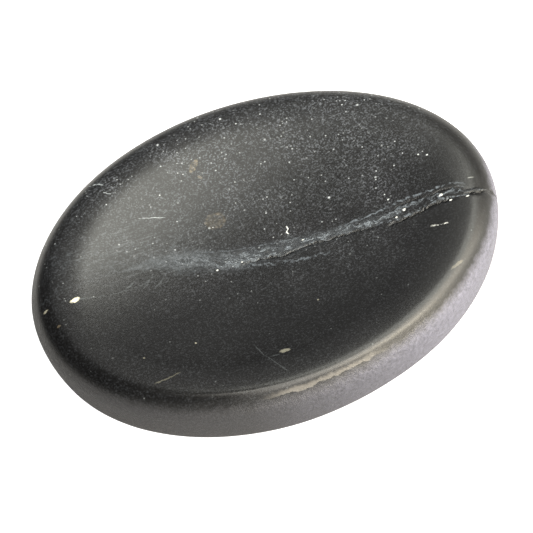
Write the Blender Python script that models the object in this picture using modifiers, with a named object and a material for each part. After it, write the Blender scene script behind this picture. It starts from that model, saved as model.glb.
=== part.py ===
"""Massage stone: one flat oval palm stone with a shallow thumb hollow ground into its top.

Metres, +Z up. The stone lies on its flat base at z = 0, with its long axis along X and the
origin under the middle of its outline. It is one solid piece of rock, so it is one object.

It is shaped the way it is ground: a profile is turned about Z into a round stone as wide as
the finished one is long, and the round stone is then narrowed across Y into an oval whose rim
keeps an even width all the way round.
"""

import math

import bmesh
import bpy

# Driving sizes of the outline, in metres
LENGTH = 0.0450
WIDTH = 0.0367
THICKNESS = 0.0065
BOW = -0.0005  # how far the two long sides sit towards -X of a true oval, as hand grinding leaves them

# The thumb hollow
HOLLOW_DEPTH = 0.0020
HOLLOW_SHIFT = -0.0030  # the deepest spot along X, from the middle of the crest

# The rim, from the hollow outwards and down to the base
CREST_SHIFT = -0.0008  # the middle of the crest along Y, from the middle of the outline
CREST_FILL = 0.0005  # how much closer the crest runs to the long sides than to the ends
CREST_INNER_ROUND = 0.0180  # radius between the hollow and the crest
CREST_OUTER_ROUND = 0.0028  # radius between the crest and the shoulder
SHOULDER_TILT = math.radians(58)  # lean of the surface from level where the shoulder begins
SHOULDER_ROUND = 0.0026  # radius from the shoulder to the widest line
WALL_TAPER = math.radians(15)  # how far the side wall leans in where it meets the base round
BASE_ROUND = 0.0015

# Fineness of the mesh
TURN_STEPS = 64
DISH_STEPS = 8
ROUND_STEPS = 4
WALL_STEPS = 3
MERGE_DISTANCE = 1e-6

LEVEL = 0.0
UPRIGHT = math.pi / 2
UNDERNEATH = math.pi

# Worked out from the sizes above
HALF_LENGTH = LENGTH / 2
NARROWING = (LENGTH - WIDTH) / 2
CREST_RADIUS = (
    HALF_LENGTH
    - SHOULDER_ROUND
    - (CREST_OUTER_ROUND - SHOULDER_ROUND) * math.sin(SHOULDER_TILT)
)
# The dish and the crest's inner round share this lean where they meet
DISH_TILT = 2 * math.atan(HOLLOW_DEPTH / CREST_RADIUS)
DISH_RADIUS = CREST_RADIUS / math.sin(DISH_TILT) - CREST_INNER_ROUND


def clear_scene():
    """Removes whatever the scene holds."""
    for item in list(bpy.data.objects):
        bpy.data.objects.remove(item)


def make_collection(name):
    """Returns a new collection, linked to the scene."""
    collection = bpy.data.collections.new(name)
    bpy.context.scene.collection.children.link(collection)
    return collection


def make_material(name, colour, roughness, metallic):
    """Returns a Principled material of one colour."""
    material = bpy.data.materials.new(name)
    material.use_nodes = True
    shader = material.node_tree.nodes["Principled BSDF"]
    shader.inputs["Base Color"].default_value = (*colour, 1.0)
    shader.inputs["Roughness"].default_value = roughness
    shader.inputs["Metallic"].default_value = metallic
    return material


def arc(centre, radius, first, last, steps):
    """Returns points (x, z) on a round, from one lean of its surface to another.

    A lean of 0 is level and faces up, a quarter turn is upright and faces out, and a half turn
    faces down. The first point is left out, because the stretch before it ends there.
    """
    leans = [first + (last - first) * step / steps for step in range(1, steps + 1)]
    return [(centre[0] + radius * math.sin(lean), centre[1] + radius * math.cos(lean)) for lean in leans]


def follow(start, radius, first, last, steps):
    """Returns the points of a round that carries on from the point start."""
    centre = (start[0] - radius * math.sin(first), start[1] - radius * math.cos(first))
    return arc(centre, radius, first, last, steps)


def stone_profile():
    """Returns the profile (x, z), from the bottom of the hollow outwards and down to the base."""
    points = [(0.0, THICKNESS - HOLLOW_DEPTH)]
    dish_centre = (0.0, THICKNESS - HOLLOW_DEPTH + DISH_RADIUS)
    # The dish curves the other way: its centre is above it
    points += arc(dish_centre, -DISH_RADIUS, LEVEL, -DISH_TILT, DISH_STEPS)
    points += follow(points[-1], CREST_INNER_ROUND, -DISH_TILT, LEVEL, ROUND_STEPS)
    points += follow(points[-1], CREST_OUTER_ROUND, LEVEL, SHOULDER_TILT, 2 * ROUND_STEPS)
    points += follow(points[-1], SHOULDER_ROUND, SHOULDER_TILT, UPRIGHT, ROUND_STEPS)
    # The wall is one long round that has leaned in by WALL_TAPER when it reaches the base round
    wall_drop = points[-1][1] - BASE_ROUND * (1 - math.sin(WALL_TAPER))
    wall_radius = wall_drop / math.sin(WALL_TAPER)
    points += follow(points[-1], wall_radius, UPRIGHT, UPRIGHT + WALL_TAPER, WALL_STEPS)
    points += follow(points[-1], BASE_ROUND, UPRIGHT + WALL_TAPER, UNDERNEATH, ROUND_STEPS)
    base_edge = points.pop()[0]
    return points + [(base_edge, 0.0), (0.0, 0.0)]


def turned_mesh(name, points):
    """Returns the mesh of a profile turned once about Z."""
    outline = bpy.data.meshes.new(name + "_profile")
    edges = [(index, index + 1) for index in range(len(points) - 1)]
    outline.from_pydata([(x, 0.0, z) for x, z in points], edges, [])
    blank = bpy.data.objects.new(name + "_blank", outline)
    bpy.context.scene.collection.objects.link(blank)
    screw = blank.modifiers.new("Turn", "SCREW")
    screw.axis = "Z"
    screw.angle = 2 * math.pi
    screw.steps = TURN_STEPS
    screw.render_steps = TURN_STEPS
    screw.use_merge_vertices = True
    screw.merge_threshold = MERGE_DISTANCE
    evaluated = blank.evaluated_get(bpy.context.evaluated_depsgraph_get())
    mesh = bpy.data.meshes.new_from_object(evaluated)
    bpy.data.objects.remove(blank)
    mesh.name = name
    return mesh


def to_oval(x, y, on_top):
    """Returns where a point of the round stone lies on the oval one.

    Outside the crest every ring moves in by the same amount across Y, so the wall keeps its
    shape. Inside the crest the rings shrink in proportion. On top, the crest moves and fills out
    towards the long sides, which fades out at the widest line, and the hollow moves towards its
    deepest spot, which fades out at the crest.
    """
    radius = math.hypot(x, y)
    narrowed = y * (1 - NARROWING / max(radius, CREST_RADIUS))
    bowed = x + BOW * (narrowed / (WIDTH / 2)) ** 2
    if not on_top:
        return bowed, narrowed
    hollow_share = max(0.0, 1 - (radius / CREST_RADIUS) ** 2)
    inward = min(1.0, max(0.0, (HALF_LENGTH - radius) / (HALF_LENGTH - CREST_RADIUS)))
    crest_share = inward**2 * (3 - 2 * inward)
    fill = CREST_FILL * y / max(radius, CREST_RADIUS)
    return bowed + HOLLOW_SHIFT * hollow_share, narrowed + (CREST_SHIFT + fill) * crest_share


def grind_to_oval(mesh):
    """Narrows the turned stone into an oval, and tidies its mesh."""
    for vertex in mesh.vertices:
        on_top = vertex.co.z > THICKNESS / 2
        vertex.co.x, vertex.co.y = to_oval(vertex.co.x, vertex.co.y, on_top)
    work = bmesh.new()
    work.from_mesh(mesh)
    bmesh.ops.remove_doubles(work, verts=work.verts, dist=MERGE_DISTANCE)
    work.to_mesh(mesh)
    work.free()


def build_stone(collection):
    """Makes the stone."""
    mesh = turned_mesh("stone", stone_profile())
    grind_to_oval(mesh)
    mesh.shade_smooth()
    stone = bpy.data.objects.new("stone", mesh)
    mesh.materials.append(make_material("honed_basalt", (0.045, 0.045, 0.046), 0.42, 0.0))
    collection.objects.link(stone)
    return stone


def main():
    """Builds the part."""
    clear_scene()
    build_stone(make_collection("massage_stone"))


main()
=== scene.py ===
"""Massage stone: the finished look of one flat oval palm stone with a shallow thumb hollow.

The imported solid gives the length, width, thickness and place. Around it this script grinds a fine
stone of the same form, with the slight waviness, the step where the vein crosses the rim and the
small pits that hand grinding leaves, and dresses it as honed basalt with its pale vein, its
bright specks and its few larger grains. Lengths are in metres, and the patterns of the finish are
worked out in millimetres of real stone.
"""

import logging
import math
import random
from dataclasses import dataclass
from enum import Enum

import bpy
import numpy as np
from mathutils import Matrix, Vector, noise


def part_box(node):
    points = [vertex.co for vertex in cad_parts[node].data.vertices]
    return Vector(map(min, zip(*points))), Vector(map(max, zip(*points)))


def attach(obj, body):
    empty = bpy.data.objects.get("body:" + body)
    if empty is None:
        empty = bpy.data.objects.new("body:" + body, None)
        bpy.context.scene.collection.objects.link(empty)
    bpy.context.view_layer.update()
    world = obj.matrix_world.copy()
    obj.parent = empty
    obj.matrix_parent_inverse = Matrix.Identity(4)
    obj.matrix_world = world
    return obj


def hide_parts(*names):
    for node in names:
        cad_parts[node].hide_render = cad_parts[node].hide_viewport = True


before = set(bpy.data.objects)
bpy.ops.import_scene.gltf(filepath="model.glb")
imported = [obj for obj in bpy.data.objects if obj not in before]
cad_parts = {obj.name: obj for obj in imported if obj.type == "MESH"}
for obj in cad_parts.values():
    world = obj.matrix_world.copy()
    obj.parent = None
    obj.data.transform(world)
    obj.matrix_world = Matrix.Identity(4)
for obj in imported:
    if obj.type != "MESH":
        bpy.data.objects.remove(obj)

LOG = logging.getLogger("massage_stone")

MM = 0.001
TO_MM = 1000.0
NODE = "stone"
PAST_SHOULDER = "past_shoulder"  # how far each point lies past the shoulder line, in mm

LEVEL = 0.0
UPRIGHT = math.pi / 2
UNDERNEATH = math.pi

WHITE = (1.0, 1.0, 1.0, 1.0)


def linear(hex_colour: str) -> tuple[float, float, float, float]:
    """Turns an sRGB hex colour into linear light.

    Args:
        hex_colour: six hex digits after a hash, such as "#2a2a2c".

    Returns:
        Red, green, blue and an alpha of 1, as a shader socket takes them.
    """
    channels = [int(hex_colour[place : place + 2], 16) / 255 for place in (1, 3, 5)]
    lit = [c / 12.92 if c <= 0.04045 else ((c + 0.055) / 1.055) ** 2.4 for c in channels]
    return (lit[0], lit[1], lit[2], 1.0)


def bearing(azimuth: float, elevation: float) -> Vector:
    """Works out a direction from the stone.

    Args:
        azimuth: its bearing in degrees, where 0 is -Y and 90 is +X.
        elevation: how far it rises above level, in degrees.

    Returns:
        The direction, one long.
    """
    turn = math.radians(azimuth)
    rise = math.radians(elevation)
    return Vector((math.sin(turn) * math.cos(rise), -math.cos(turn) * math.cos(rise), math.sin(rise)))


def add_node(
    tree: bpy.types.NodeTree, kind: str, inputs: dict[str | int, object] | None = None, **settings: object
) -> bpy.types.Node:
    """Adds one node to a material or to the room.

    Args:
        tree: the node tree that takes the node.
        kind: the node's type, without the word ShaderNode in front.
        inputs: for each input, the socket that feeds it or the value it holds.
        settings: the node's own options.

    Returns:
        The node.
    """
    node = tree.nodes.new("ShaderNode" + kind)
    for option, value in settings.items():
        setattr(node, option, value)
    for key, value in (inputs or {}).items():
        if isinstance(value, bpy.types.NodeSocket):
            tree.links.new(value, node.inputs[key])
        else:
            node.inputs[key].default_value = value
    return node


# --------------------------------------------------------------------------- the stone's form


@dataclass(frozen=True)
class Round:
    """One round of the stone's section, given by how its surface leans.

    A lean of 0 is level and faces up, a quarter turn is upright and faces out, and a half turn
    faces down. A hollow has a negative radius.
    """

    radius: float
    first: float
    last: float

    def length(self) -> float:
        """Returns the length of the round along the surface."""
        return abs(self.radius * (self.last - self.first))

    def walk(self, start: tuple[float, float], share: np.ndarray) -> tuple[np.ndarray, np.ndarray]:
        """Follows the round from a starting point.

        Args:
            start: distance from the axis and height where the round begins.
            share: how far along the round each wanted point lies, from 0 to 1.

        Returns:
            Distance from the axis and height of each point.
        """
        lean = self.first + (self.last - self.first) * share
        reach = start[0] + self.radius * (np.sin(lean) - math.sin(self.first))
        height = start[1] + self.radius * (np.cos(lean) - math.cos(self.first))
        return reach, height

    def end(self, start: tuple[float, float]) -> tuple[float, float]:
        """Returns the point where the round ends, from the point where it begins."""
        reach, height = self.walk(start, np.array([1.0]))
        return float(reach[0]), float(height[0])


@dataclass
class StoneForm:
    """The ground form: a round section narrowed into an oval whose rim keeps an even width."""

    length: float
    width: float
    thickness: float
    bow: float = -0.5 * MM
    hollow_depth: float = 2.0 * MM
    hollow_shift: float = -3.0 * MM
    crest_shift: float = -0.8 * MM
    crest_fill: float = 0.5 * MM  # how much closer the crest runs to the long sides than to the ends
    crest_inner_round: float = 18.0 * MM
    crest_outer_round: float = 2.8 * MM
    shoulder_tilt: float = math.radians(58)
    shoulder_round: float = 2.6 * MM
    wall_taper: float = math.radians(15)
    base_round: float = 1.5 * MM

    def __post_init__(self) -> None:
        """Works out the rounds of the section from the sizes."""
        rim_spare = (self.crest_outer_round - self.shoulder_round) * math.sin(self.shoulder_tilt)
        self.narrowing = (self.length - self.width) / 2
        self.crest_radius = self.length / 2 - self.shoulder_round - rim_spare
        dish_tilt = 2 * math.atan(self.hollow_depth / self.crest_radius)
        dish_radius = self.crest_radius / math.sin(dish_tilt) - self.crest_inner_round
        self.bottom = (0.0, self.thickness - self.hollow_depth)
        self.dish = Round(-dish_radius, LEVEL, -dish_tilt)
        self.rim = [
            Round(self.crest_inner_round, -dish_tilt, LEVEL),
            Round(self.crest_outer_round, LEVEL, self.shoulder_tilt),
            Round(self.shoulder_round, self.shoulder_tilt, UPRIGHT),
        ]
        self.dish_edge = self.dish.end(self.bottom)
        self.widest = self.dish_edge
        for part in self.rim:
            self.widest = part.end(self.widest)
        drop = self.widest[1] - self.base_round * (1 - math.sin(self.wall_taper))
        wall = Round(drop / math.sin(self.wall_taper), UPRIGHT, UPRIGHT + self.wall_taper)
        self.side = [wall, Round(self.base_round, UPRIGHT + self.wall_taper, UNDERNEATH)]

    def lengths(self) -> tuple[float, float, float]:
        """Measures the section along its surface.

        Returns:
            The distance from the middle of the dish to its edge, the shoulder and the widest line.
        """
        inner, outer, shoulder = (part.length() for part in self.rim)
        dish = self.dish.length()
        return dish, dish + inner + outer, dish + inner + outer + shoulder

    def section(
        self, start: tuple[float, float], rounds: list[Round], along: np.ndarray
    ) -> tuple[np.ndarray, np.ndarray]:
        """Walks a run of rounds at an even pace.

        Args:
            start: distance from the axis and height where the first round begins.
            rounds: the rounds, each beginning where the one before it ends.
            along: how far along the whole run each wanted point lies, from 0 to 1.

        Returns:
            Distance from the axis and height of each point.
        """
        lengths = [part.length() for part in rounds]
        travelled = along * sum(lengths)
        reach = np.full_like(along, start[0])
        height = np.full_like(along, start[1])
        for part, stretch in zip(rounds, lengths, strict=True):
            inside = travelled > 0
            share = np.clip(travelled[inside] / stretch, 0.0, 1.0)
            reach[inside], height[inside] = part.walk(start, share)
            start = part.end(start)
            travelled = travelled - stretch
        return reach, height

    def place(self, reach: np.ndarray, angle: np.ndarray, height: np.ndarray, on_top: bool) -> np.ndarray:
        """Moves points of the round stone to where they lie on the oval one.

        Args:
            reach: distance of each point from the axis.
            angle: direction of each point about the axis, in radians from +X.
            height: height of each point.
            on_top: whether the points lie above the widest line, where the hollow shifts them.

        Returns:
            The points, one row each.
        """
        across = reach * np.sin(angle) * (1 - self.narrowing / np.maximum(reach, self.crest_radius))
        length = reach * np.cos(angle) + self.bow * (across / (self.width / 2)) ** 2
        if on_top:
            share = np.clip(1 - (reach / self.crest_radius) ** 2, 0.0, 1.0)
            rim_width = self.length / 2 - self.crest_radius
            inward = np.clip((self.length / 2 - reach) / rim_width, 0.0, 1.0)
            hold = inward**2 * (3 - 2 * inward)
            length = length + self.hollow_shift * share
            fill = self.crest_fill * np.sin(angle) * np.minimum(reach / self.crest_radius, 1.0)
            across = across + (self.crest_shift + fill) * hold
        return np.stack([length, across, height], axis=-1)


# --------------------------------------------------------------------------- marks in the rock


class Run(Enum):
    """The direction that a mark in the rock mostly runs in, as the place of its axis."""

    ALONG = 0
    ACROSS = 1


PALE = "#9aa1a6"
BLUE_GREY = "#60676f"
DULL = "#3e4245"
SHADE = "#050506"
BONE = "#b4b1a0"
TAN = "#5c5446"
QUARTZ = "#c0c2c0"
MILKY = "#b3b6b6"
GLASSY = "#a6abae"


@dataclass(frozen=True)
class Course:
    """A line in the rock seen from above: a vein, a strand of it, a crack or a scratch.

    Its points and its half width are in millimetres, from the middle of the stone and in the
    order that it runs. Its height is how far it stands out of the surface, and broken says how
    much of it is missing, from 0 to 1.
    """

    name: str
    points: tuple[tuple[float, float], ...]
    half_width: float = 0.1
    colour: str = BLUE_GREY
    strength: float = 1.0
    height: float = 0.0
    broken: float = 0.0
    run: Run = Run.ALONG

    def beside(self, points: np.ndarray) -> np.ndarray:
        """Measures how far points lie to the side of the course.

        Args:
            points: the points in millimetres, one row each.

        Returns:
            The signed distances in millimetres.
        """
        knots = np.array(self.points)
        main = self.run.value
        return points[:, 1 - main] - np.interp(points[:, main], knots[:, main], knots[:, 1 - main])


@dataclass(frozen=True)
class Grain:
    """One larger grain in the rock: its middle, size and turn seen from above, in mm and degrees.

    A ring is a worn grain, pale round its edge and mottled inside.
    """

    x: float
    y: float
    length: float
    width: float
    turn: float
    colour: str
    strength: float = 1.0
    ring: bool = False


PATCH_MIDDLE = (-0.6, -17.6, 4.8)  # the painted highlight on the near shoulder, a pale strip
PATCH_LENGTH = 12.5
PATCH_WIDTH = 5.2
PATCH_DEPTH = 18.0
PATCH_TURN = 2.0
PATCH_BOTTOM = -0.45  # how far its cut-off edge lies past the shoulder line
PATCH_HEIGHT = 0.75
GRAIN_LEVEL = 5.6  # the height of the larger grains above the base
GRAIN_DEPTH = 2.6
BRUSHED_MIDDLE = (-11.0, 4.2, GRAIN_LEVEL)  # the scratched area round the left end of the vein
BRUSHED_REACH = (11.5, 4.6, 9.0)
BRUSHED_TURN = -0.12  # in radians, along the left end of the vein

VEIN = Course(
    "vein",
    ((-17.0, 2.6), (-10.3, 2.7), (-8.3, 2.0), (-5.6, 1.0), (-4.3, 0.1), (-2.8, -0.4), (-0.4, -0.9),
     (1.9, -1.4), (4.8, -2.0), (6.5, -2.3), (9.2, -3.0), (11.7, -3.4), (14.5, -3.5), (17.5, -4.2),
     (19.3, -4.9), (23.0, -5.6)),
)

# The vein's half width at places along the stone
VEIN_HALF_WIDTH = (
    (-23.0, 0.04), (-14.0, 0.05), (-10.5, 0.5), (-7.5, 0.9), (-4.0, 0.95), (0.0, 0.75), (5.0, 0.55),
    (10.0, 0.32), (14.0, 0.16), (18.0, 0.08), (23.0, 0.06),
)

STRANDS = (
    Course("upper strand", ((6.5, -1.9), (9.1, -2.2), (11.3, -2.4), (13.0, -2.5), (14.6, -2.8),
                            (15.9, -3.0), (17.5, -3.3), (19.4, -4.6)), 0.12, BLUE_GREY, 0.75, broken=0.6),
    Course("middle strand", ((10.7, -3.3), (13.5, -3.2), (14.9, -3.5), (16.2, -4.2), (17.5, -4.0),
                             (19.0, -4.4)), 0.11, BLUE_GREY, 0.75, broken=0.6),
    Course("lower strand", ((9.4, -3.5), (11.4, -4.0), (13.4, -4.4), (16.0, -4.4), (17.1, -4.8),
                            (19.2, -5.4)), 0.11, BLUE_GREY, 0.75, broken=0.65),
    Course("under strand", ((-3.2, -1.5), (-1.9, -1.7), (-0.3, -2.4), (1.3, -3.0), (3.5, -3.7),
                            (5.6, -4.3)), 0.17, BLUE_GREY, 0.55, broken=0.7),
    Course("upper hair", ((-6.0, 2.2), (-3.0, 0.9), (0.0, 0.0), (3.0, -0.9), (6.0, -1.6)),
           0.06, BLUE_GREY, 0.5, broken=0.6),
    Course("under crack", ((-2.6, -1.3), (-1.1, -1.4), (1.5, -2.2), (3.0, -2.2), (5.7, -2.8), (7.2, -3.1),
                           (10.2, -3.9)), 0.10, SHADE, 0.9, height=-0.05, broken=0.35),
    Course("lower crack", ((11.0, -4.5), (12.4, -4.6), (14.5, -4.75), (16.3, -4.8), (17.5, -5.2)),
           0.12, SHADE, 0.95, height=-0.07, broken=0.2),
    Course("upper crack", ((12.2, -2.9), (14.0, -3.0), (15.6, -3.5), (17.2, -3.7), (19.2, -4.9)),
           0.07, SHADE, 0.8, height=-0.04, broken=0.4),
    Course("rim crack", ((18.6, -5.0), (19.6, -5.4), (20.8, -5.3), (23.0, -5.2)),
           0.18, SHADE, 1.0, height=-0.12),
)

SCRATCHES = (
    Course("left haze", ((-20.5, 5.8), (-15.0, 5.2), (-10.0, 4.0), (-5.0, 2.2)),
           0.8, BLUE_GREY, 0.10, broken=0.8),
    Course("lower haze", ((-17.0, 3.4), (-12.0, 3.2), (-7.0, 0.2), (-3.0, -1.2)),
           0.5, BLUE_GREY, 0.12, broken=0.8),
    Course("trace left", ((-17.9, 0.8), (-15.5, 0.6), (-13.4, 0.5), (-10.0, 1.6)),
           0.07, DULL, 0.5, broken=0.5),
    Course("pale scratch", ((-14.7, -11.8), (-12.0, -11.5)), 0.07, "#4c4b43", 0.7),
    Course("long scratch", ((-9.6, 8.05), (-7.1, 7.1)), 0.045, PALE, 0.6, broken=0.3),
    Course("far scratch", ((-12.6, 13.9), (-11.2, 12.9)), 0.07, PALE, 0.8, broken=0.3),
    Course("far tick", ((-11.6, 12.0), (-10.9, 11.4)), 0.06, PALE, 0.6),
    Course("hairline", ((-5.1, -11.1), (-4.8, -12.7), (-4.2, -14.4), (-3.5, -16.3))[::-1], 0.06, DULL, 0.55,
           broken=0.3, run=Run.ACROSS),
    Course("squiggle", ((2.55, -0.1), (2.5, 0.25), (2.7, 0.5), (2.72, 0.95)), 0.06, "#bdc0c1", 1.0,
           run=Run.ACROSS),
    Course("white tick", ((14.1, -6.85), (14.9, -7.2), (15.8, -7.6)), 0.11, "#b9bbb9", 1.0, broken=0.75),
    Course("ghost one", ((-13.4, 0.7), (-12.6, 1.0), (-12.0, 1.35)), 0.09, DULL, 0.7, broken=0.3),
    Course("ghost two", ((-11.9, 0.3), (-11.2, 0.65), (-10.6, 1.1)), 0.09, DULL, 0.7, broken=0.3),
    Course("ghost three", ((-10.9, -0.1), (-10.2, 0.3), (-9.7, 0.7)), 0.09, DULL, 0.6, broken=0.3),
)

GRAINS = (
    Grain(-18.1, 0.9, 1.05, 0.55, 10, BONE),
    Grain(-17.4, 0.85, 0.9, 0.16, -8, DULL, 0.8),
    Grain(-21.0, 1.1, 0.6, 0.28, 15, BONE, 0.45),
    Grain(-20.4, -1.3, 0.4, 0.3, 0, TAN, 0.5),
    Grain(-3.0, 4.75, 2.0, 1.85, 0, TAN, 0.24, ring=True),
    Grain(-2.6, 11.3, 1.5, 0.6, 42, TAN, 0.6, ring=True),
    Grain(-2.5, 9.9, 0.5, 0.3, -50, TAN, 0.5),
    Grain(-2.9, -13.5, 1.15, 0.4, -12, "#68675e", 0.9),
    Grain(-3.9, -13.6, 0.9, 0.12, -8, DULL, 0.7),
    Grain(13.0, -3.6, 0.34, 0.26, 20, QUARTZ),
    Grain(12.0, -4.0, 0.24, 0.18, 0, QUARTZ),
    Grain(16.5, -4.1, 0.42, 0.26, 10, QUARTZ),
    Grain(17.1, -5.1, 0.34, 0.24, 0, QUARTZ),
    Grain(18.6, -5.5, 0.3, 0.18, 0, "#b5b8b7"),
    Grain(-4.9, -0.7, 0.26, 0.2, 0, MILKY),
    Grain(-2.5, -0.9, 0.24, 0.2, 0, MILKY),
    Grain(3.5, -1.4, 0.2, 0.16, 0, MILKY),
    Grain(17.4, 1.0, 0.26, 0.22, 0, GLASSY),
    Grain(16.7, 1.5, 0.22, 0.2, 0, GLASSY),
    Grain(12.2, -1.6, 0.24, 0.2, 0, GLASSY),
    Grain(19.8, -3.5, 0.7, 0.14, -8, "#6f7271", 0.7),
    Grain(14.4, -12.3, 1.6, 0.3, 22, "#7d796c", 0.25),
    Grain(-9.7, -8.4, 0.2, 0.2, 0, BONE, 0.35),
    Grain(2.0, -9.0, 0.2, 0.16, 0, BONE, 0.3),
    Grain(-14.5, -8.3, 0.2, 0.2, 0, BONE, 0.2),
)


# --------------------------------------------------------------------------- hand grinding


@dataclass(frozen=True)
class HandGrinding:
    """The small unevenness that grinding by hand leaves on the form, in millimetres."""

    seed: int = 11
    wave: float = 0.045
    wave_spread: float = 9.0
    ripple: float = 0.007
    ripple_spread: float = 2.2
    step: float = 0.22
    step_start: float = 18.2
    step_reach: float = 3.2
    step_run: float = 2.0
    step_edge: float = 0.25
    groove_spread: float = 1.6
    pits: int = 90
    pit_radius: tuple[float, float] = (0.12, 0.28)
    pit_slope: float = 0.16
    worn_upness: float = 0.3  # where the stone faces up more than this, the honing has worn the pits
    worn_share: float = 0.3
    base_fade: float = 0.6  # the base stays flat: the unevenness grows from none over this height

    def heights(self, points: np.ndarray, upness: np.ndarray) -> np.ndarray:
        """Works out how far each point of the surface moves along its normal.

        Args:
            points: the points in millimetres, one row each.
            upness: how much the surface faces up at each point, from 0 to 1.

        Returns:
            The moves in millimetres, outwards positive.
        """
        moves = self.unevenness(points)
        moves += upness * self.rim_step(points)
        moves += upness * self.strand_relief(points)
        moves += self.pitting(points, upness)
        return moves * np.clip(points[:, 2] / self.base_fade, 0.0, 1.0)

    def unevenness(self, points: np.ndarray) -> np.ndarray:
        """Works out the long waves and the short ripples of the ground surface.

        Args:
            points: the points in millimetres, one row each.

        Returns:
            The moves in millimetres.
        """
        wave = [noise.noise(Vector(point)) for point in (points / self.wave_spread).tolist()]
        ripple = [noise.noise(Vector(point)) for point in (points / self.ripple_spread).tolist()]
        return self.wave * np.array(wave) + self.ripple * np.array(ripple)

    def rim_step(self, points: np.ndarray) -> np.ndarray:
        """Works out the step in the rim where the vein crosses it: its far side sits lower.

        Args:
            points: the points in millimetres, one row each.

        Returns:
            The moves in millimetres.
        """
        beside = VEIN.beside(points)
        reached = np.clip((points[:, 0] - self.step_start) / self.step_run, 0.0, 1.0)
        far_side = np.clip(beside / self.step_edge + 0.5, 0.0, 1.0)
        return -self.step * reached * far_side * np.exp(-np.maximum(beside, 0.0) / self.step_reach)

    def strand_relief(self, points: np.ndarray) -> np.ndarray:
        """Works out the grooves that the cracks open in the surface.

        Args:
            points: the points in millimetres, one row each.

        Returns:
            The moves in millimetres.
        """
        moves = np.zeros(len(points))
        for course in STRANDS:
            if course.height:
                knots = np.array(course.points)
                x = points[:, 0]
                inside = (x > knots[0, 0]) & (x < knots[-1, 0])
                away = course.beside(points) / (self.groove_spread * course.half_width)
                moves += inside * course.height * np.exp(-(away**2))
        return moves

    def pitting(self, points: np.ndarray, upness: np.ndarray) -> np.ndarray:
        """Works out small pits, which the honing has nearly taken out of the top.

        Args:
            points: the points in millimetres, one row each.
            upness: how much the surface faces up at each point, from 0 to 1.

        Returns:
            The moves in millimetres.
        """
        draw = random.Random(self.seed)
        moves = np.zeros(len(points))
        for _ in range(self.pits):
            chosen = draw.randrange(len(points))
            radius = draw.uniform(*self.pit_radius)
            if upness[chosen] > self.worn_upness:
                radius *= self.worn_share
            distance = np.linalg.norm(points - points[chosen], axis=1) / radius
            moves -= self.pit_slope * radius * np.clip(1 - distance**2, 0.0, 1.0)
        return moves


# --------------------------------------------------------------------------- the stone's mesh


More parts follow.
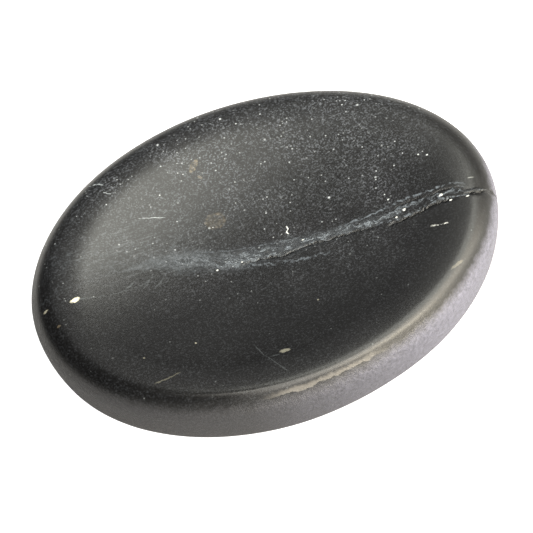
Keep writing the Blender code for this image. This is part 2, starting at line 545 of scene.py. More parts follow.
@dataclass
class PalmStone:
    """The fine stone: its mesh, ground by hand."""

    form: StoneForm
    grinding: HandGrinding
    dish_rings: int = 92
    rim_rings: int = 36
    side_rings: int = 14
    base_rings: tuple[float, ...] = (0.85, 0.55, 0.25)

    def ring_section(self) -> tuple[np.ndarray, np.ndarray, np.ndarray]:
        """Works out the rings of the top.

        Returns:
            The distance from the axis, the height and the travel along the section of each ring.
        """
        dish_share = np.linspace(0, 1, self.dish_rings + 1)
        rim_share = np.linspace(0, 1, self.rim_rings + 1)
        dish = self.form.section(self.form.bottom, [self.form.dish], dish_share)
        rim = self.form.section(self.form.dish_edge, self.form.rim, rim_share)
        to_dish_edge, _, to_widest = self.form.lengths()
        travel = [to_dish_edge * dish_share, to_dish_edge + (to_widest - to_dish_edge) * rim_share[1:]]
        return (
            np.concatenate([dish[0], rim[0][1:]]),
            np.concatenate([dish[1], rim[1][1:]]),
            np.concatenate(travel),
        )

    def top_sheet(self) -> tuple[np.ndarray, np.ndarray, list[tuple[int, ...]], np.ndarray]:
        """Lays the top, from the bottom of the hollow out to the widest line.

        The sheet is a square net bent round so that each of its square rings becomes one ring
        of the stone, which keeps the cells alike from the middle to the rim.

        Returns:
            Points, the travel to each point along the section, faces and the numbers of the
            points on the outermost ring, in order.
        """
        rings = self.dish_rings + self.rim_rings
        count = 2 * rings + 1
        steps = np.arange(-rings, rings + 1)
        column, row = np.meshgrid(steps, steps, indexing="ij")
        ring = np.maximum(np.abs(column), np.abs(row))
        safe = np.maximum(ring, 1)
        sideways = np.abs(column) >= np.abs(row)
        angle = np.where(
            sideways,
            math.pi / 4 * row * np.sign(column) / safe + math.pi * (column < 0),
            math.pi / 2 - math.pi / 4 * column * np.sign(row) / safe + math.pi * (row < 0),
        )
        reach, height, travel = self.ring_section()
        points = self.form.place(reach[ring], angle, height[ring], on_top=True)
        number = np.arange(count * count).reshape(count, count)
        corners = (number[:-1, :-1], number[1:, :-1], number[1:, 1:], number[:-1, 1:])
        faces = [tuple(quad) for quad in np.stack([c.ravel() for c in corners], axis=1).tolist()]
        edge = number[ring == rings]
        order = np.argsort(np.mod(angle[ring == rings], 2 * math.pi))
        return points.reshape(-1, 3), travel[ring].ravel(), faces, edge[order]

    def build(self) -> bpy.types.Object:
        """Makes the stone's mesh.

        Returns:
            The stone.
        """
        points, travel, faces, edge = self.top_sheet()
        angles = np.arange(len(edge)) * 2 * math.pi / len(edge)
        along = np.linspace(0, 1, self.side_rings + 1)[1:]
        start = self.form.widest
        reach, height = self.form.section(start, self.form.side, along)
        reach = np.concatenate([reach, reach[-1] * np.array(self.base_rings), [0.0]])
        height = np.concatenate([height, np.zeros(len(self.base_rings) + 1)])
        height[self.side_rings - 1] = 0.0
        _, to_shoulder, to_widest = self.form.lengths()
        strides = np.hypot(np.diff(reach, prepend=start[0]), np.diff(height, prepend=start[1]))
        side_travel = to_widest + np.cumsum(strides)
        blocks = [points]
        travels = [travel]
        ring = edge.tolist()
        total = len(points)
        for rank in range(len(reach) - 1):
            spread = np.full(len(edge), reach[rank])
            level = np.full(len(edge), height[rank])
            blocks.append(self.form.place(spread, angles, level, on_top=False))
            travels.append(np.full(len(edge), side_travel[rank]))
            lower = list(range(total, total + len(edge)))
            faces += list(zip(ring, lower, lower[1:] + lower[:1], ring[1:] + ring[:1], strict=True))
            ring = lower
            total += len(edge)
        blocks.append(np.zeros((1, 3)))
        travels.append(side_travel[-1:])
        faces += [(first, total, second) for first, second in zip(ring, ring[1:] + ring[:1], strict=True)]
        mesh = bpy.data.meshes.new("palm_stone")
        mesh.from_pydata(np.vstack(blocks).tolist(), [], faces)
        mesh.update()
        past = (np.concatenate(travels) - to_shoulder) * TO_MM
        layer = mesh.attributes.new(PAST_SHOULDER, "FLOAT", "POINT")
        layer.data.foreach_set("value", past.astype(np.float32))
        self.grind(mesh)
        mesh.shade_smooth()
        stone = bpy.data.objects.new("palm_stone", mesh)
        bpy.context.scene.collection.objects.link(stone)
        return stone

    def grind(self, mesh: bpy.types.Mesh) -> None:
        """Moves the points of the mesh along their normals, as the hand grinding says.

        Args:
            mesh: the stone's mesh, still of the even form.
        """
        places = np.zeros(len(mesh.vertices) * 3, np.float32)
        normals = np.zeros(len(mesh.vertices) * 3, np.float32)
        mesh.vertices.foreach_get("co", places)
        mesh.vertex_normals.foreach_get("vector", normals)
        points = places.reshape(-1, 3).astype(float)
        facing = normals.reshape(-1, 3).astype(float)
        moves = self.grinding.heights(points * TO_MM, np.clip(facing[:, 2], 0.0, 1.0))
        points += facing * (moves * MM)[:, None]
        mesh.vertices.foreach_set("co", points.astype(np.float32).ravel())
        mesh.update()


# --------------------------------------------------------------------------- finishes


@dataclass(frozen=True)
class Coat:
    """One thing seen in the surface: where it lies, and what it changes there."""

    mask: bpy.types.NodeSocket
    colour: str | None = None
    roughness: float | None = None
    height: float = 0.0


@dataclass(frozen=True)
class Skin:
    """The skin of the stone, which the nodes of its material draw on.

    Place is the socket that gives the place on the stone, in millimetres.
    """

    tree: bpy.types.NodeTree
    place: bpy.types.NodeSocket

    def draw(self, kind: str, inputs: dict[str | int, object], **settings: object) -> bpy.types.NodeSocket:
        """Adds one node to the material and returns its first output."""
        return add_node(self.tree, kind, inputs, **settings).outputs[0]


@dataclass(frozen=True)
class HonedBasalt:
    """Basalt: a fine-grained, nearly black lava, sawn, ground by hand and honed.

    The eye sees a soft satin sheen over a dark ground, a fine sparkle of feldspar, and a rougher
    and paler wall below the honed rim, with painted light that makes it paler still on the right. Sizes are
    in millimetres of real stone.
    """

    ground: str = "#0a0a0b"
    cloud: str = "#151516"
    mottle: str = "#1c1d1f"
    grit_colour: str = "#484b51"
    lath: str = "#54585d"
    speck: str = "#b4babf"
    wall: str = "#242428"
    # the colour of the painted light on the wall's right side
    lit_wall_paint: str = "#5f5f6c"
    # the colour of the painted highlight on the near shoulder
    highlight_paint: str = "#676460"
    ior: float = 1.5
    honed: float = 0.28
    open_grain: float = 0.33
    rough_shoulder: float = 0.42
    rough_wall: float = 0.55
    smooth_patch: float = 0.26
    cloud_size: float = 6.0
    mottle_size: float = 0.26
    lath_size: float = 0.5
    grit_size: float = 0.19  # real crystals are about 0.05 mm, drawn coarser so that they show
    grain_size: float = 0.20  # the honing grit leaves finer marks, drawn coarser so that they show
    grain_height: float = 0.009
    sawn_scale: float = 3.2  # bumps in a millimetre of the sawn wall
    sawn_height: float = 0.045
    crowd_slant: float = 0.45  # how much moving right crowds the crystals, to 1 for moving back
    thin_slant: float = -0.5  # how much moving back thins them, to 1 for moving right
    fibre_pace: tuple[float, float, float] = (0.9, 5.0, 0.3)  # changes in a millimetre of the vein
    brush_pace: tuple[float, float, float] = (0.45, 5.5, 1.0)  # changes in a millimetre of scratches
    granule_scale: float = 6.5
    vein_sway: float = 0.45
    vein_least: float = 0.02  # the half width that the vein keeps where it is thinnest
    vein_height: float = 0.012
    hair_height: float = -0.02
    rough_vein: float = 0.5
    line_sway: float = 2.2  # how far a line wanders, in half widths

    def build(self) -> bpy.types.Material:
        """Makes the material.

        Returns:
            The material.
        """
        material = bpy.data.materials.new("honed_basalt")
        material.use_nodes = True
        tree = material.node_tree
        shader = tree.nodes["Principled BSDF"]
        shader.inputs["IOR"].default_value = self.ior
        metres = add_node(tree, "TexCoord").outputs["Object"]
        millimetres = add_node(tree, "VectorMath", {0: metres, "Scale": TO_MM}, operation="SCALE")
        skin = Skin(tree, millimetres.outputs[0])
        coats = self.rock(skin) + self.vein(skin)
        coats += [self.line(skin, course) for course in STRANDS + SCRATCHES]
        coats += [self.spot(skin, grain) for grain in GRAINS]
        # A Mix node blends colours from its inputs 6 and 7, and plain values from 2 and 3
        colour: object = linear(self.ground)
        roughness: object = self.honed
        height: object = 0.0
        for coat in coats:
            if coat.colour:
                inputs = {0: coat.mask, 6: colour, 7: linear(coat.colour)}
                colour = add_node(tree, "Mix", inputs, data_type="RGBA").outputs[2]
            if coat.roughness is not None:
                inputs = {0: coat.mask, 2: roughness, 3: coat.roughness}
                roughness = add_node(tree, "Mix", inputs).outputs[0]
            if coat.height:
                inputs = {0: coat.mask, 1: coat.height, 2: height}
                height = add_node(tree, "Math", inputs, operation="MULTIPLY_ADD").outputs[0]
        tree.links.new(colour, shader.inputs["Base Color"])
        tree.links.new(roughness, shader.inputs["Roughness"])
        bump = add_node(tree, "Bump", {"Height": height, "Distance": MM, "Strength": 1.0})
        tree.links.new(bump.outputs["Normal"], shader.inputs["Normal"])
        return material

    def rock(self, skin: Skin) -> list[Coat]:
        """Lays the body of the rock, with its dull wall, its crystals and the marks of honing.

        Args:
            skin: the stone's skin.

        Returns:
            The coats, in the order that they cover one another.
        """
        drift = {"Vector": skin.place, "Scale": 1 / self.cloud_size, "Detail": 3.0}
        clouds = skin.draw("TexNoise", drift)
        cloudy = skin.draw("MapRange", {"Value": clouds, "From Min": 0.38, "From Max": 0.66})
        blots = {"Vector": skin.place, "Scale": 1 / self.mottle_size, "Detail": 4.0, "Roughness": 0.7}
        mottle = skin.draw("TexNoise", blots)
        blotted = skin.draw("MapRange", {"Value": mottle, "From Min": 0.46, "From Max": 0.68})
        crowd = self.crowding(skin)
        # Where there are few crystals the rock is also evenly dark
        share = skin.draw("MapRange", {"Value": crowd, "To Min": 0.15, "From Max": 0.4})
        clouded = skin.draw("Math", {0: cloudy, 1: share}, operation="MULTIPLY")
        mottled = skin.draw("Math", {0: blotted, 1: share}, operation="MULTIPLY")
        return [
            Coat(clouded, self.cloud),
            Coat(mottled, self.mottle, self.open_grain),
            *self.dull_wall(skin),
            self.grit(skin, crowd),
            self.painted_highlight_patch(skin),
            self.brushing(skin),
            self.laths(skin, crowd),
            self.specks(skin, crowd, spacing=0.42, radius=0.10, rarity=0.5),
            self.specks(skin, crowd, spacing=0.95, radius=0.16, rarity=0.80),
            self.sparkle(skin),
        ]

    def crowding(self, skin: Skin) -> bpy.types.NodeSocket:
        """Works out how crowded the pale crystals are.

        They are rare along the near side, crowd towards the far side and the right, lie in patches,
        and thin out again at the right end, which paints shade there, where the crest turns away from the
        light.

        Args:
            skin: the stone's skin.

        Returns:
            How crowded they are, from about 0 to 1.
        """
        x, y, _ = add_node(skin.tree, "SeparateXYZ", {0: skin.place}).outputs
        slant = skin.draw("Math", {0: x, 1: self.crowd_slant, 2: y}, operation="MULTIPLY_ADD")
        growth = {"Value": slant, "From Min": -9.0, "From Max": 13.0, "To Min": 0.07, "To Max": 1.0}
        even = skin.draw("MapRange", growth)
        patches = skin.draw("TexNoise", {"Vector": skin.place, "Scale": 0.28, "Detail": 2.0})
        swing = {"Value": patches, "From Min": 0.3, "From Max": 0.7, "To Min": 0.35, "To Max": 1.25}
        patchy = skin.draw("MapRange", swing)
        both = skin.draw("Math", {0: even, 1: patchy}, operation="MULTIPLY")
        # Painted shade: fewer crystals, and so a darker rock, at the right end where the crest turns away
        # from the light.
        far = skin.draw("Math", {0: y, 1: self.thin_slant, 2: x}, operation="MULTIPLY_ADD")
        rim = {"Value": far, "From Min": 12.0, "From Max": 18.5, "To Min": 1.0, "To Max": 0.06}
        thinned_in_shade = skin.draw("MapRange", rim)
        return skin.draw("Math", {0: both, 1: thinned_in_shade}, operation="MULTIPLY")

    def grit(self, skin: Skin, crowd: bpy.types.NodeSocket) -> Coat:
        """Lays the finest crystals, a pepper-and-salt grain that shows most where the rock is pale.

        Args:
            skin: the stone's skin.
            crowd: how crowded the crystals are.

        Returns:
            The coat.
        """
        inputs = {"Vector": skin.place, "Scale": 1 / self.grit_size, "Detail": 2.0, "Roughness": 0.6}
        field = skin.draw("TexNoise", inputs)
        peaks = {"Value": field, "From Min": 0.515, "From Max": 0.67}
        grains = skin.draw("MapRange", peaks)
        share = skin.draw("MapRange", {"Value": crowd, "To Min": 0.12, "From Max": 0.9})
        mask = skin.draw("Math", {0: grains, 1: share}, operation="MULTIPLY")
        return Coat(mask, self.grit_colour, roughness=self.open_grain)

    def brushing(self, skin: Skin) -> Coat:
        """Lays the fine pale scratches that run along the stone around the left end of the vein.

        Args:
            skin: the stone's skin.

        Returns:
            The coat.
        """
        drawn = skin.draw("VectorMath", {0: skin.place, 1: self.brush_pace}, operation="MULTIPLY")
        field = skin.draw("TexNoise", {"Vector": drawn, "Scale": 1.0, "Detail": 4.0, "Roughness": 0.7})
        peaks = {"Value": field, "From Min": 0.53, "From Max": 0.68, "To Max": 0.35}
        scratches = skin.draw("MapRange", peaks)
        out = self.from_middle(skin, BRUSHED_MIDDLE, BRUSHED_TURN, BRUSHED_REACH)
        fade = {"Value": out, "From Min": 0.4, "From Max": 1.0, "To Min": 1.0, "To Max": 0.0}
        near = skin.draw("MapRange", fade)
        return Coat(skin.draw("Math", {0: scratches, 1: near}, operation="MULTIPLY"), self.lath)

    def laths(self, skin: Skin, crowd: bpy.types.NodeSocket) -> Coat:
        """Lays the laths: short, thin, bent needles of feldspar.

        Args:
            skin: the stone's skin.
            crowd: how crowded the crystals are.

        Returns:
            The coat.
        """
        bent = {"Vector": skin.place, "Scale": 1 / self.lath_size, "Detail": 1.0, "Distortion": 1.1}
        field = skin.draw("TexNoise", bent)
        level = skin.draw("Math", {0: field, 1: 0.5}, operation="SUBTRACT")
        away = skin.draw("Math", {0: level}, operation="ABSOLUTE")
        thread = {"Value": away, "From Min": 0.010, "From Max": 0.030, "To Min": 1.0, "To Max": 0.0}
        threads = skin.draw("MapRange", thread)
        breaks = skin.draw("TexNoise", {"Vector": skin.place, "Scale": 2.1, "Detail": 2.0})
        broken = {"Value": breaks, "From Min": 0.50, "From Max": 0.60}
        pieces = skin.draw("MapRange", broken)
        both = skin.draw("Math", {0: threads, 1: pieces}, operation="MULTIPLY")
        return Coat(skin.draw("Math", {0: both, 1: crowd}, operation="MULTIPLY"), self.lath)

    def specks(
        self, skin: Skin, crowd: bpy.types.NodeSocket, spacing: float, radius: float, rarity: float
    ) -> Coat:
        """Strews bright specks, each a crystal cut by the surface.

        Args:
            skin: the stone's skin.
            crowd: how crowded the crystals are.
            spacing: the distance between neighbours if none were left out.
            radius: the radius of the largest.
            rarity: the share that is left out where the crystals are most crowded.

        Returns:
            The coat.
        """
        cells = add_node(skin.tree, "TexVoronoi", {"Vector": skin.place, "Scale": 1 / spacing})
        edge = radius / spacing
        away = cells.outputs["Distance"]
        dot = {"Value": away, "From Min": 0.25 * edge, "From Max": edge, "To Min": 1.0, "To Max": 0.0}
        dots = skin.draw("MapRange", dot)
        draws = add_node(skin.tree, "SeparateColor", {0: cells.outputs["Color"]})
        lot = draws.outputs[0]
        limit = skin.draw("Math", {0: crowd, 1: rarity - 1, 2: 1.0}, operation="MULTIPLY_ADD")
        kept = skin.draw("Math", {0: lot, 1: limit}, operation="GREATER_THAN")
        brightness = {"Value": draws.outputs[1], "From Min": 0.1, "To Min": 0.08, "To Max": 0.9}
        varied = skin.draw("MapRange", brightness)
        dimmed = skin.draw("MapRange", {"Value": crowd, "To Min": 0.15, "From Max": 0.5})
        strong = skin.draw("Math", {0: dots, 1: dimmed}, operation="MULTIPLY")
        shown = skin.draw("Math", {0: strong, 1: kept}, operation="MULTIPLY")
        return Coat(skin.draw("Math", {0: shown, 1: varied}, operation="MULTIPLY"), self.speck)

    def sparkle(self, skin: Skin) -> Coat:
        """Lays the grain that the honing leaves, which breaks up the sheen.

        Args:
            skin: the stone's skin.

        Returns:
            The coat.
        """
        inputs = {"Vector": skin.place, "Scale": 1 / self.grain_size, "Detail": 3.0, "Roughness": 0.65}
        return Coat(skin.draw("TexNoise", inputs), height=self.grain_height)

    def from_middle(
        self, skin: Skin, middle: tuple[float, ...], turn: float, reach: tuple[float, ...]
    ) -> bpy.types.NodeSocket:
        """Measures how far the surface lies from the middle of an egg-shaped area.

        Args:
            skin: the stone's skin.
            middle: the middle of the area, in millimetres.
            turn: how far it is turned about the vertical, in radians.
            reach: its half sizes along its length, width and height, in millimetres.

        Returns:
            The distance, which is 1 at the edge of the area.
        """
        area = {"Vector": skin.place, "Location": middle, "Rotation": (0.0, 0.0, turn), "Scale": reach}
        inside = skin.draw("Mapping", area, vector_type="TEXTURE")
        return add_node(skin.tree, "VectorMath", {0: inside}, operation="LENGTH").outputs["Value"]

    def past_shoulder(
        self, skin: Skin, scale: float, detail: float, roughness: float, sway: float
    ) -> tuple[bpy.types.NodeSocket, bpy.types.NodeSocket]:
        """Measures how far the surface lies past the shoulder line.

        Args:
            skin: the stone's skin.
            scale: how many bends the ragged measure takes in a millimetre.
            detail: how many finer sets of bends it adds.
            roughness: how strong the finer bends are.
            sway: how far it wanders from the true one, in millimetres.

        Returns:
            The true and the ragged distance in millimetres.
        """
        past = add_node(skin.tree, "Attribute", attribute_name=PAST_SHOULDER).outputs["Fac"]
        bends = {"Vector": skin.place, "Scale": scale, "Detail": detail, "Roughness": roughness}
        ragged = skin.draw("TexNoise", bends)
        swing = {"Value": ragged, "From Min": 0.3, "From Max": 0.7, "To Min": -sway, "To Max": sway}
        swayed = skin.draw("MapRange", swing)
        return past, skin.draw("Math", {0: past, 1: swayed}, operation="ADD")

    def dull_wall(self, skin: Skin) -> list[Coat]:
        """Lays the wall below the shoulder, rougher and paler, with painted light that makes it paler still
        towards the right.

        Args:
            skin: the stone's skin.

        Returns:
            The coats: the shoulder, worn dull above the wall, the wall and the painted light on its right
                side.
        """
        past, edge = self.past_shoulder(skin, 0.9, 5.0, 0.75, sway=0.3)
        below = skin.draw("MapRange", {"Value": edge, "From Min": -0.5, "From Max": 0.6})
        sawn = {"Vector": skin.place, "Scale": self.sawn_scale, "Detail": 4.0, "Roughness": 0.75}
        grainy = skin.draw("TexNoise", sawn)
        cover = skin.draw("MapRange", {"Value": grainy, "From Min": 0.36, "From Max": 0.62, "To Min": 0.45})
        mask = skin.draw("Math", {0: below, 1: cover}, operation="MULTIPLY")
        x = skin.draw("SeparateXYZ", {0: skin.place})
        # Painted light: the wall is drawn paler towards the right, where the light falls on it.
        lit_towards_right = skin.draw("MapRange", {"Value": x, "From Min": -8.0, "From Max": 13.0})
        lit_wall_paint = skin.draw("Math", {0: mask, 1: lit_towards_right}, operation="MULTIPLY")
        above = skin.draw("MapRange", {"Value": past, "From Min": -3.4, "From Max": -1.8})
        right = skin.draw("MapRange", {"Value": x, "From Min": -9.0, "From Max": 2.0, "To Max": 0.8})
        shoulder = skin.draw("Math", {0: above, 1: right}, operation="MULTIPLY")
        return [
            Coat(shoulder, roughness=self.rough_shoulder),
            Coat(mask, self.wall, self.rough_wall, height=self.sawn_height),
            Coat(lit_wall_paint, self.lit_wall_paint),
        ]

    def painted_highlight_patch(self, skin: Skin) -> Coat:
        """Lays the painted highlight on the near shoulder: a long pale strip, sharply cut off below, whose
        pale colour stands in for the light shining off the shoulder, and which also has a smoother finish.

        Args:
            skin: the stone's skin.

        Returns:
            The coat.
        """
        _, edge = self.past_shoulder(skin, 1.1, 4.0, 0.65, sway=0.25)
        bottom, top = PATCH_BOTTOM, PATCH_BOTTOM - PATCH_HEIGHT
        below = {"Value": edge, "From Min": bottom, "From Max": bottom + 0.08, "To Min": 1.0, "To Max": 0.0}
        lower = skin.draw("MapRange", below)
        above = {"Value": edge, "From Min": top, "From Max": bottom - PATCH_HEIGHT / 3}
        upper = skin.draw("MapRange", above)
        band = skin.draw("Math", {0: lower, 1: upper}, operation="MULTIPLY")
        reach = (PATCH_LENGTH / 2, PATCH_WIDTH / 2, PATCH_DEPTH / 2)
        out = self.from_middle(skin, PATCH_MIDDLE, math.radians(PATCH_TURN), reach)
        fade = {"Value": out, "From Min": 0.6, "From Max": 1.0, "To Min": 0.6, "To Max": 0.0}
        near = skin.draw("MapRange", fade)
        mask = skin.draw("Math", {0: band, 1: near}, operation="MULTIPLY")
        # Painted highlight: the pale colour stands in for light shining off the near shoulder; the lower
        # roughness is the real smoother finish.
        return Coat(mask, self.highlight_paint, roughness=self.smooth_patch)

    def follow(
        self, skin: Skin, points: tuple[tuple[float, float], ...], run: Run = Run.ALONG
    ) -> tuple[bpy.types.NodeSocket, bpy.types.NodeSocket]:
        """Follows a smooth line through points.

        Args:
            skin: the stone's skin.
            points: the points, in the order that the line runs.
            run: the direction that the line runs in.

        Returns:
            The share of the line's run, from 0 to 1, and its other coordinate there.
        """
        main = run.value
        firsts = [point[main] for point in points]
        seconds = [point[1 - main] for point in points]
        low, span = min(seconds), max(seconds) - min(seconds)
        split = add_node(skin.tree, "SeparateXYZ", {0: skin.place})
        stretch = {"Value": split.outputs[main], "From Min": firsts[0], "From Max": firsts[-1]}
        share = skin.draw("MapRange", stretch, clamp=False)
        curve = add_node(skin.tree, "FloatCurve", {"Value": share})
        marks = curve.mapping.curves[0].points
        run_length = firsts[-1] - firsts[0]
        places = [
            ((first - firsts[0]) / run_length, (second - low) / span)
            for first, second in zip(firsts, seconds, strict=True)
        ]
        marks[0].location = places[0]
        marks[-1].location = places[-1]
        for spot in places[1:-1]:
            marks.new(*spot)
        curve.mapping.update()
        inputs = {0: curve.outputs[0], 1: span, 2: low}
        return share, skin.draw("Math", inputs, operation="MULTIPLY_ADD")

    def beside(
        self, skin: Skin, course: Course, sway: float
    ) -> tuple[bpy.types.NodeSocket, bpy.types.NodeSocket]:
        """Measures how far the surface lies beside a course.

        Args:
            skin: the stone's skin.
            course: the course.
            sway: how far it wanders from its smooth line, in millimetres.

        Returns:
            The share of the course's run, and the signed distance beside it in millimetres.
        """
        share, middle = self.follow(skin, course.points, course.run)
        other = add_node(skin.tree, "SeparateXYZ", {0: skin.place}).outputs[1 - course.run.value]
        off = skin.draw("Math", {0: other, 1: middle}, operation="SUBTRACT")
        bends = {"Vector": skin.place, "Scale": 1.3, "Detail": 3.0, "Roughness": 0.6}
        wander = skin.draw("TexNoise", bends)
        swing = {"Value": wander, "From Min": 0.25, "From Max": 0.75, "To Min": -sway, "To Max": sway}
        swayed = skin.draw("MapRange", swing)
        return share, skin.draw("Math", {0: off, 1: swayed}, operation="ADD")

    def line(self, skin: Skin, course: Course) -> Coat:
        """Draws a strand, a crack or a scratch.

        Args:
            skin: the stone's skin.
            course: its course.

        Returns:
            The coat.
        """
        share, off = self.beside(skin, course, self.line_sway * course.half_width)
        away = skin.draw("Math", {0: off}, operation="ABSOLUTE")
        full = course.strength
        inner = 0.45 * course.half_width
        outer = 1.25 * course.half_width
        core = {"Value": away, "From Min": inner, "From Max": outer, "To Min": full, "To Max": 0.0}
        mask = skin.draw("MapRange", core)
        middle = skin.draw("Math", {0: share, 1: 0.5}, operation="SUBTRACT")
        out = skin.draw("Math", {0: middle}, operation="ABSOLUTE")
        ends = {"Value": out, "From Min": 0.36, "From Max": 0.5, "To Min": 1.0, "To Max": 0.0}
        window = skin.draw("MapRange", ends)
        mask = skin.draw("Math", {0: mask, 1: window}, operation="MULTIPLY")
        # Marks fade as they go down the wall
        rise = add_node(skin.tree, "SeparateXYZ", {0: skin.place}).outputs[2]
        worn = skin.draw("MapRange", {"Value": rise, "From Min": 2.6, "From Max": 4.6, "To Min": 0.12})
        mask = skin.draw("Math", {0: mask, 1: worn}, operation="MULTIPLY")
        if course.broken:
            flaws = {"Vector": skin.place, "Scale": 2.4, "Detail": 4.0, "Roughness": 0.7}
            chips = skin.draw("TexNoise", flaws)
            gap = 0.30 + 0.25 * course.broken
            pieces = skin.draw("MapRange", {"Value": chips, "From Min": gap, "From Max": gap + 0.10})
            mask = skin.draw("Math", {0: mask, 1: pieces}, operation="MULTIPLY")
        return Coat(mask, course.colour, height=course.height)

    def vein(self, skin: Skin) -> list[Coat]:
        """Lays the vein: a band of granular fibres with bright flecks and dark hairs in it.

        Args:
            skin: the stone's skin.

        Returns:
            The coats.
        """
        _, off = self.beside(skin, VEIN, self.vein_sway)
        _, half = self.follow(skin, VEIN_HALF_WIDTH)
        away = skin.draw("Math", {0: off}, operation="ABSOLUTE")
        least = skin.draw("Math", {0: half, 1: self.vein_least}, operation="MAXIMUM")
        ratio = skin.draw("Math", {0: away, 1: least}, operation="DIVIDE")
        band = {"Value": ratio, "From Min": 0.45, "From Max": 1.2, "To Min": 1.0, "To Max": 0.0}
        body = skin.draw("MapRange", band)
        haze = {"Value": ratio, "From Min": 0.4, "From Max": 2.0, "To Min": 0.12, "To Max": 0.0}
        hazy = skin.draw("MapRange", haze)
        x, _, z = add_node(skin.tree, "SeparateXYZ", {0: skin.place}).outputs
        drawn = skin.draw("CombineXYZ", {0: x, 1: off, 2: z})
        threads = skin.draw("VectorMath", {0: drawn, 1: self.fibre_pace}, operation="MULTIPLY")
        weave = {"Vector": threads, "Scale": 1.0, "Detail": 4.0, "Roughness": 0.65}
        fibre = skin.draw("TexNoise", weave)
        fibres = skin.draw("MapRange", {"Value": fibre, "From Min": 0.49, "From Max": 0.55})
        speckle = {"Vector": skin.place, "Scale": self.granule_scale, "Detail": 3.0, "Roughness": 0.75}
        granule = skin.draw("TexNoise", speckle)
        gaps = {"Value": granule, "From Min": 0.42, "From Max": 0.55, "To Min": 0.12}
        granules = skin.draw("MapRange", gaps)
        texture = skin.draw("Math", {0: fibres, 1: granules}, operation="MULTIPLY")
        rise = {"Value": x, "From Min": -11.0, "From Max": 1.0, "To Min": 0.1, "To Max": 1.0}
        fading = skin.draw("MapRange", rise)
        faded = skin.draw("Math", {0: texture, 1: fading}, operation="MULTIPLY")
        mask = skin.draw("Math", {0: body, 1: faded}, operation="MULTIPLY")
        bright = skin.draw("MapRange", {"Value": granule, "From Min": 0.62, "From Max": 0.70})
        flecks = skin.draw("Math", {0: bright, 1: mask}, operation="MULTIPLY")
        dark = skin.draw("MapRange", {"Value": fibre, "From Min": 0.36, "From Max": 0.30})
        hairs = skin.draw("Math", {0: dark, 1: body}, operation="MULTIPLY")
        return [
            Coat(hazy, VEIN.colour),
            Coat(mask, VEIN.colour, self.rough_vein, self.vein_height),
            Coat(flecks, PALE),
            Coat(hairs, SHADE, height=self.hair_height),
        ]

    def spot(self, skin: Skin, grain: Grain) -> Coat:
        """Sets one larger grain.

        Args:
            skin: the stone's skin.
            grain: the grain.

        Returns:
            The coat.
        """
        ragged = add_node(skin.tree, "TexNoise", {"Vector": skin.place, "Scale": 3.2, "Detail": 2.0})
        swing = {0: ragged.outputs["Color"], 1: (0.5, 0.5, 0.5)}
        nudge = skin.draw("VectorMath", swing, operation="SUBTRACT")
        raggedness = min(0.9 * grain.width, 0.4)
        scaled = skin.draw("VectorMath", {0: nudge, "Scale": raggedness}, operation="SCALE")
        moved = skin.draw("VectorMath", {0: skin.place, 1: scaled}, operation="ADD")
        middle = (grain.x, grain.y, GRAIN_LEVEL)
        reach = (grain.length / 2, grain.width / 2, GRAIN_DEPTH)
        out = self.from_middle(Skin(skin.tree, moved), middle, math.radians(grain.turn), reach)
        edge = {"Value": out, "From Min": 0.75, "From Max": 1.1, "To Min": grain.strength, "To Max": 0.0}
        mask = skin.draw("MapRange", edge)
        if grain.ring:
            blots = {"Vector": skin.place, "Scale": 2.6, "Detail": 4.0, "Roughness": 0.75}
            mottle = skin.draw("TexNoise", blots)
            worn = {"Value": mottle, "From Min": 0.42, "From Max": 0.62, "To Min": 0.15}
            hoop = skin.draw("Math", {0: out, 1: 0.9}, operation="SUBTRACT")
            off = skin.draw("Math", {0: hoop}, operation="ABSOLUTE")
            bright = 2 * grain.strength
            rim = {"Value": off, "From Min": 0.05, "From Max": 0.22, "To Min": bright, "To Max": 0.0}
            rims = skin.draw("MapRange", rim)
            whole = skin.draw("Math", {0: mask, 1: rims}, operation="MAXIMUM")
            left = skin.draw("MapRange", worn)
            mask = skin.draw("Math", {0: whole, 1: left}, operation="MULTIPLY")
        return Coat(mask, grain.colour)


# --------------------------------------------------------------------------- studio


@dataclass(frozen=True)
class SoftBox:
    """One soft light: a flat panel that faces the stone, with sizes in metres."""

    name: str
    azimuth: float
    elevation: float
    width: float
    height: float
    radiance: float
    tint: str = "#ffffff"
    distance: float = 0.5

    def build(self, centre: Vector) -> bpy.types.Object:
        """Hangs the panel.

        Args:
            centre: the point that the panel faces.

        Returns:
            The light.
        """
        light = bpy.data.lights.new(self.name, "AREA")
        light.shape = "RECTANGLE"
        light.size = self.width
        light.size_y = self.height
        light.energy = math.pi * self.width * self.height * self.radiance
        light.color = linear(self.tint)[:3]
        lamp = bpy.data.objects.new(self.name, light)
        bpy.context.scene.collection.objects.link(lamp)
        lamp.location = centre + bearing(self.azimuth, self.elevation) * self.distance
        lamp.rotation_mode = "QUATERNION"
        lamp.rotation_quaternion = bearing(self.azimuth, self.elevation).to_track_quat("Z", "Y")
        lamp.visible_camera = False
        return lamp


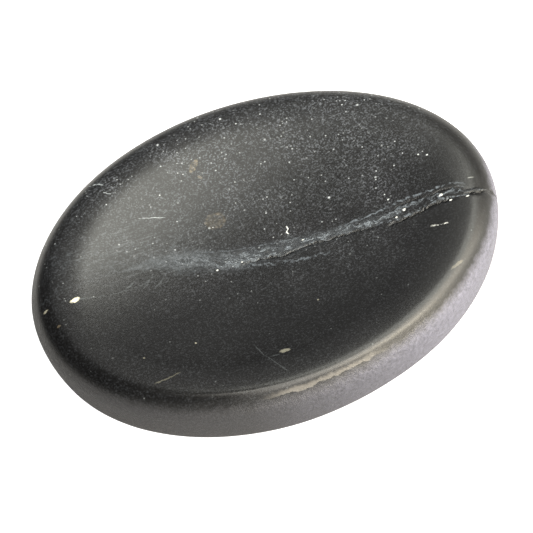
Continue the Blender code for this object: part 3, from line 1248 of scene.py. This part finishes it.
@dataclass
class Studio:
    """A pale floor, soft light and the camera, with angles in degrees and the lens in mm."""

    azimuth: float = -10.0
    elevation: float = 50.0
    roll: float = 14.7
    distance: float = 0.2025
    lens: float = 146.3
    nearest_seen: float = 0.01
    aim_right: float = 0.1 * MM
    aim_down: float = 1.2 * MM
    floor_size: float = 4.0
    floor_colour: tuple[float, float, float, float] = (0.42, 0.425, 0.445, 1.0)
    floor_roughness: float = 0.9
    room_light: float = 0.02
    backdrop: float = 1.0
    boxes: tuple[SoftBox, ...] = (
        SoftBox("window", 55, 33, 0.66, 0.52, 8.8, "#fff8e8"),
        SoftBox("front", 2, 24, 0.34, 0.34, 6.5, "#fff9ee"),
        SoftBox("streak", 34, 9, 0.30, 0.18, 15.0, "#fff3da"),
        SoftBox("overhead", 118, 62, 0.34, 0.34, 6.0, "#fffff4"),
        SoftBox("front overhead", 2, 62, 0.32, 0.32, 6.0, "#fffbf0"),
        SoftBox("back", 172, 46, 0.40, 0.40, 0.3),
    )

    def camera(self, centre: Vector) -> bpy.types.Object:
        """Sets the camera.

        Args:
            centre: the middle of the stone.

        Returns:
            The camera.
        """
        back = bearing(self.azimuth, self.elevation)
        turn = math.radians(self.azimuth)
        right = Vector((math.cos(turn), math.sin(turn), 0.0))
        up = back.cross(right)
        lean = math.radians(self.roll)
        image_right = right * math.cos(lean) - up * math.sin(lean)
        image_up = right * math.sin(lean) + up * math.cos(lean)
        aim = centre + image_right * self.aim_right - image_up * self.aim_down
        data = bpy.data.cameras.new("camera")
        data.lens = self.lens
        data.clip_start = self.nearest_seen
        camera = bpy.data.objects.new("camera", data)
        bpy.context.scene.collection.objects.link(camera)
        facing = Matrix((image_right, image_up, back)).transposed().to_4x4()
        camera.matrix_world = Matrix.Translation(aim + back * self.distance) @ facing
        bpy.context.scene.camera = camera
        return camera

    def floor(self) -> bpy.types.Object:
        """Lays the floor.

        Returns:
            The floor, a pale table that looks evenly white to the camera.
        """
        mesh = bpy.data.meshes.new("floor")
        half = self.floor_size / 2
        corners = [(-half, -half, 0.0), (half, -half, 0.0), (half, half, 0.0), (-half, half, 0.0)]
        mesh.from_pydata(corners, [], [(0, 1, 2, 3)])
        material = bpy.data.materials.new("lit_table")
        material.use_nodes = True
        shader = material.node_tree.nodes["Principled BSDF"]
        shader.inputs["Base Color"].default_value = self.floor_colour
        shader.inputs["Emission Color"].default_value = WHITE
        seen = add_node(material.node_tree, "LightPath").outputs["Is Camera Ray"]
        material.node_tree.links.new(seen, shader.inputs["Emission Strength"])
        shader.inputs["Roughness"].default_value = self.floor_roughness
        mesh.materials.append(material)
        floor = bpy.data.objects.new("floor", mesh)
        bpy.context.scene.collection.objects.link(floor)
        return floor

    def surroundings(self) -> None:
        """Sets the room: a dim even light, behind it a pale backdrop that only the camera sees."""
        world = bpy.data.worlds.new("room")
        world.use_nodes = True
        tree = world.node_tree
        seen = add_node(tree, "LightPath").outputs["Is Camera Ray"]
        light = tree.nodes["Background"]
        light.inputs["Color"].default_value = WHITE
        strength = {"Value": seen, "To Min": self.room_light, "To Max": self.backdrop}
        tree.links.new(add_node(tree, "MapRange", strength).outputs[0], light.inputs["Strength"])
        bpy.context.scene.world = world
        bpy.context.scene.view_settings.view_transform = "Standard"


def main() -> None:
    """Builds the stone and its studio."""
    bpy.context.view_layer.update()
    low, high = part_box(NODE)
    size = high - low
    centre = (low + high) / 2
    studio = Studio()
    studio.camera(centre)
    studio.floor()
    studio.surroundings()
    for box in studio.boxes:
        box.build(centre)
    stone = PalmStone(StoneForm(size.x, size.y, size.z), HandGrinding()).build()
    stone.data.materials.append(HonedBasalt().build())
    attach(stone, "root")
    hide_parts(NODE)
    LOG.info("palm stone: %d points, %d faces", len(stone.data.vertices), len(stone.data.polygons))
    marks = (VEIN, *STRANDS, *SCRATCHES)
    LOG.info("marks on it: %s, and %d grains", ", ".join(mark.name for mark in marks), len(GRAINS))
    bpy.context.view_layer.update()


if __name__ == "__main__":
    logging.basicConfig(level=logging.INFO, format="%(name)s: %(message)s")
    main()
